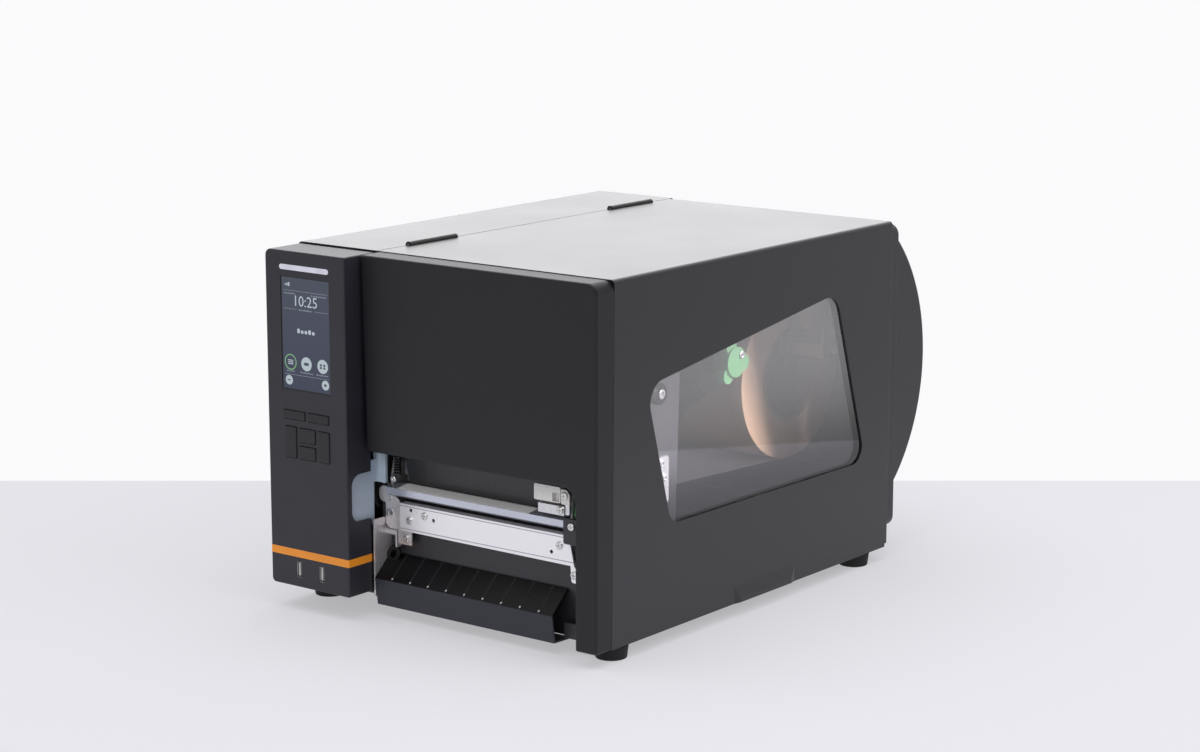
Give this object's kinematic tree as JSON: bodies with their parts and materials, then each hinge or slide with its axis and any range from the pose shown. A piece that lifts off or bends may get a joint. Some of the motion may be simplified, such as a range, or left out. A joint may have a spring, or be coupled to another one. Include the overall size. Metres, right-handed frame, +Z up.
{
  "type": "label printer",
  "caption": "Industrial thermal transfer label printer with a hinged windowed door, side control column, front label mouth and curved rear roll cover.",
  "frame": {"origin": "on the floor under the middle of the whole printer", "axes": "+Z up, the front with the label mouth faces -Y, the door and its window are on +X"},
  "size_m": [0.3315, 0.5038, 0.3066],
  "materials": {
    "black_coat": "fine-textured satin powder coat, black",
    "black_plastic": "fine-grained moulded plastic, black",
    "key_plastic": "smooth satin black plastic",
    "orange_plastic": "satin orange plastic",
    "light_pipe": "frosted clear light pipe",
    "display_glass": "glossy touch display with a dim dark blue picture",
    "smoked_pane": "smoked clear sheet, polished",
    "rubber": "matt black rubber",
    "steel_sheet": "rolled stainless sheet",
    "polished_steel": "polished stainless steel",
    "aluminium": "milled and cast aluminium",
    "grey_plastic": "blue-grey moulded plastic",
    "green_plastic": "leaf green moulded plastic",
    "ivory_plastic": "pale moulded plastic and zinc-plated keeper",
    "head_ceramic": "glazed thermal head substrate",
    "ribbon_ink": "black wax-resin ink film",
    "label_paper": "wound label stock seen from its edge, tan liner",
    "core_card": "wound card tube",
    "board": "green soldermask board with parts",
    "motor_black": "black painted motor case"
  },
  "bodies": {
    "chassis": {"accent_stripe": "orange_plastic", "base_pan": "black_coat", "centre_wall": "aluminium", "cheek_plates": "steel_sheet", "circuit_boards": "board", "display_glass": "display_glass", "drive_belt": "rubber", "exit_tray": "black_plastic", "feet": "rubber", "front_plate": "polished_steel", "hanger_bar": "steel_sheet", "hinge_leaf_fixed": "black_coat", "hinge_pins": "steel_sheet", "inner_cheek": "grey_plastic", "inner_plate": "steel_sheet", "latch_block": "ivory_plastic", "left_cover": "black_coat", "lower_apron": "black_coat", "mech_screws": "polished_steel", "mech_shafts": "steel_sheet", "media_plate": "steel_sheet", "outer_plate": "steel_sheet", "panel_housing": "black_plastic", "power_inlet": "key_plastic", "power_supply": "steel_sheet", "rear_bulge": "black_plastic", "rear_frame": "black_plastic", "rear_ports": "steel_sheet", "ribbon_film": "ribbon_ink", "status_light": "light_pipe", "stepper_motor": "motor_black", "tear_bar": "polished_steel", "usb_ports": "steel_sheet"},
    "door": {"front_bezel": "black_plastic", "door_cover": "black_coat", "window_pane": "smoked_pane", "hinge_leaf_door": "black_coat"},
    "platen": {"platen_shaft": "steel_sheet", "platen_roller": "rubber", "platen_pulley": "aluminium"},
    "motor_rotor": {"motor_pulley": "aluminium"},
    "head_group": {"head_carriage": "aluminium", "print_head": "head_ceramic"},
    "release_lever": {"head_lever": "green_plastic"},
    "rewind_group": {"rewind_spindle": "key_plastic"},
    "supply_group": {"supply_spindle": "key_plastic", "supply_ribbon": "ribbon_ink", "supply_hub": "green_plastic"},
    "tension_dial": {"tension_knob": "key_plastic"},
    "edge_guide": {"media_guide": "green_plastic"},
    "roll_keeper": {"hanger_guard": "grey_plastic"},
    "labels": {"label_core": "core_card", "label_roll": "label_paper"},
    "mains_switch": {"power_rocker": "key_plastic"},
    "soft_key_left_cap": {"soft_key_left": "key_plastic"},
    "soft_key_right_cap": {"soft_key_right": "key_plastic"},
    "key_left_cap": {"key_left": "key_plastic"},
    "key_up_cap": {"key_up": "key_plastic"},
    "key_down_cap": {"key_down": "key_plastic"},
    "key_right_cap": {"key_right": "key_plastic"}
  },
  "joints": [
    {"name": "door_hinge", "type": "hinge", "parent": "chassis", "child": "door", "pos_m": [-0.0767, 0, 0.3036], "axis": [0, -1, 0], "range_deg": [0, 100]},
    {"name": "platen_spin", "type": "hinge", "parent": "chassis", "child": "platen", "pos_m": [0, -0.19, 0.1], "axis": [1, 0, 0], "continuous": true},
    {"name": "motor_spin", "type": "hinge", "parent": "chassis", "child": "motor_rotor", "pos_m": [-0.093, -0.13, 0.062], "axis": [1, 0, 0], "continuous": true},
    {"name": "head_tilt", "type": "hinge", "parent": "chassis", "child": "head_group", "pos_m": [0, -0.13, 0.142], "axis": [-1, 0, 0], "range_deg": [0, 25]},
    {"name": "lever_turn", "type": "hinge", "parent": "chassis", "child": "release_lever", "pos_m": [0.122, -0.165, 0.128], "axis": [-1, 0, 0], "range_deg": [0, 90]},
    {"name": "rewind_spin", "type": "hinge", "parent": "chassis", "child": "rewind_group", "pos_m": [0, -0.15, 0.238], "axis": [1, 0, 0], "continuous": true},
    {"name": "supply_spin", "type": "hinge", "parent": "chassis", "child": "supply_group", "pos_m": [0, 0.016, 0.2], "axis": [1, 0, 0], "continuous": true},
    {"name": "tension_turn", "type": "hinge", "parent": "chassis", "child": "tension_dial", "pos_m": [0.122, -0.101, 0.1925], "axis": [1, 0, 0], "range_deg": [-150, 150]},
    {"name": "guide_slide", "type": "slide", "parent": "chassis", "child": "edge_guide", "axis": [-1, 0, 0], "range_m": [0, 0.1]},
    {"name": "keeper_slide", "type": "slide", "parent": "chassis", "child": "roll_keeper", "axis": [1, 0, 0], "range_m": [0, 0.027]},
    {"name": "label_spin", "type": "hinge", "parent": "chassis", "child": "labels", "pos_m": [0, 0.1545, 0.1626], "axis": [1, 0, 0], "continuous": true},
    {"name": "switch_tilt", "type": "hinge", "parent": "chassis", "child": "mains_switch", "pos_m": [-0.135, 0.203, 0.088], "axis": [1, 0, 0], "range_deg": [-8, 8]},
    {"name": "soft_key_left_press", "type": "slide", "parent": "chassis", "child": "soft_key_left_cap", "axis": [0, 1, 0], "range_m": [0, 0.001], "stiffness_N_per_m": 400, "springref_m": -0.0005},
    {"name": "soft_key_right_press", "type": "slide", "parent": "chassis", "child": "soft_key_right_cap", "axis": [0, 1, 0], "range_m": [0, 0.001], "stiffness_N_per_m": 400, "springref_m": -0.0005},
    {"name": "key_left_press", "type": "slide", "parent": "chassis", "child": "key_left_cap", "axis": [0, 1, 0], "range_m": [0, 0.001], "stiffness_N_per_m": 400, "springref_m": -0.0005},
    {"name": "key_up_press", "type": "slide", "parent": "chassis", "child": "key_up_cap", "axis": [0, 1, 0], "range_m": [0, 0.001], "stiffness_N_per_m": 400, "springref_m": -0.0005},
    {"name": "key_down_press", "type": "slide", "parent": "chassis", "child": "key_down_cap", "axis": [0, 1, 0], "range_m": [0, 0.001], "stiffness_N_per_m": 400, "springref_m": -0.0005},
    {"name": "key_right_press", "type": "slide", "parent": "chassis", "child": "key_right_cap", "axis": [0, 1, 0], "range_m": [0, 0.001], "stiffness_N_per_m": 400, "springref_m": -0.0005}
  ],
  "couplings": [
    {"joint": "motor_spin", "follows": "platen_spin", "ratio": 2},
    {"joint": "lever_turn", "follows": "head_tilt", "ratio": 3.6}
  ]
}
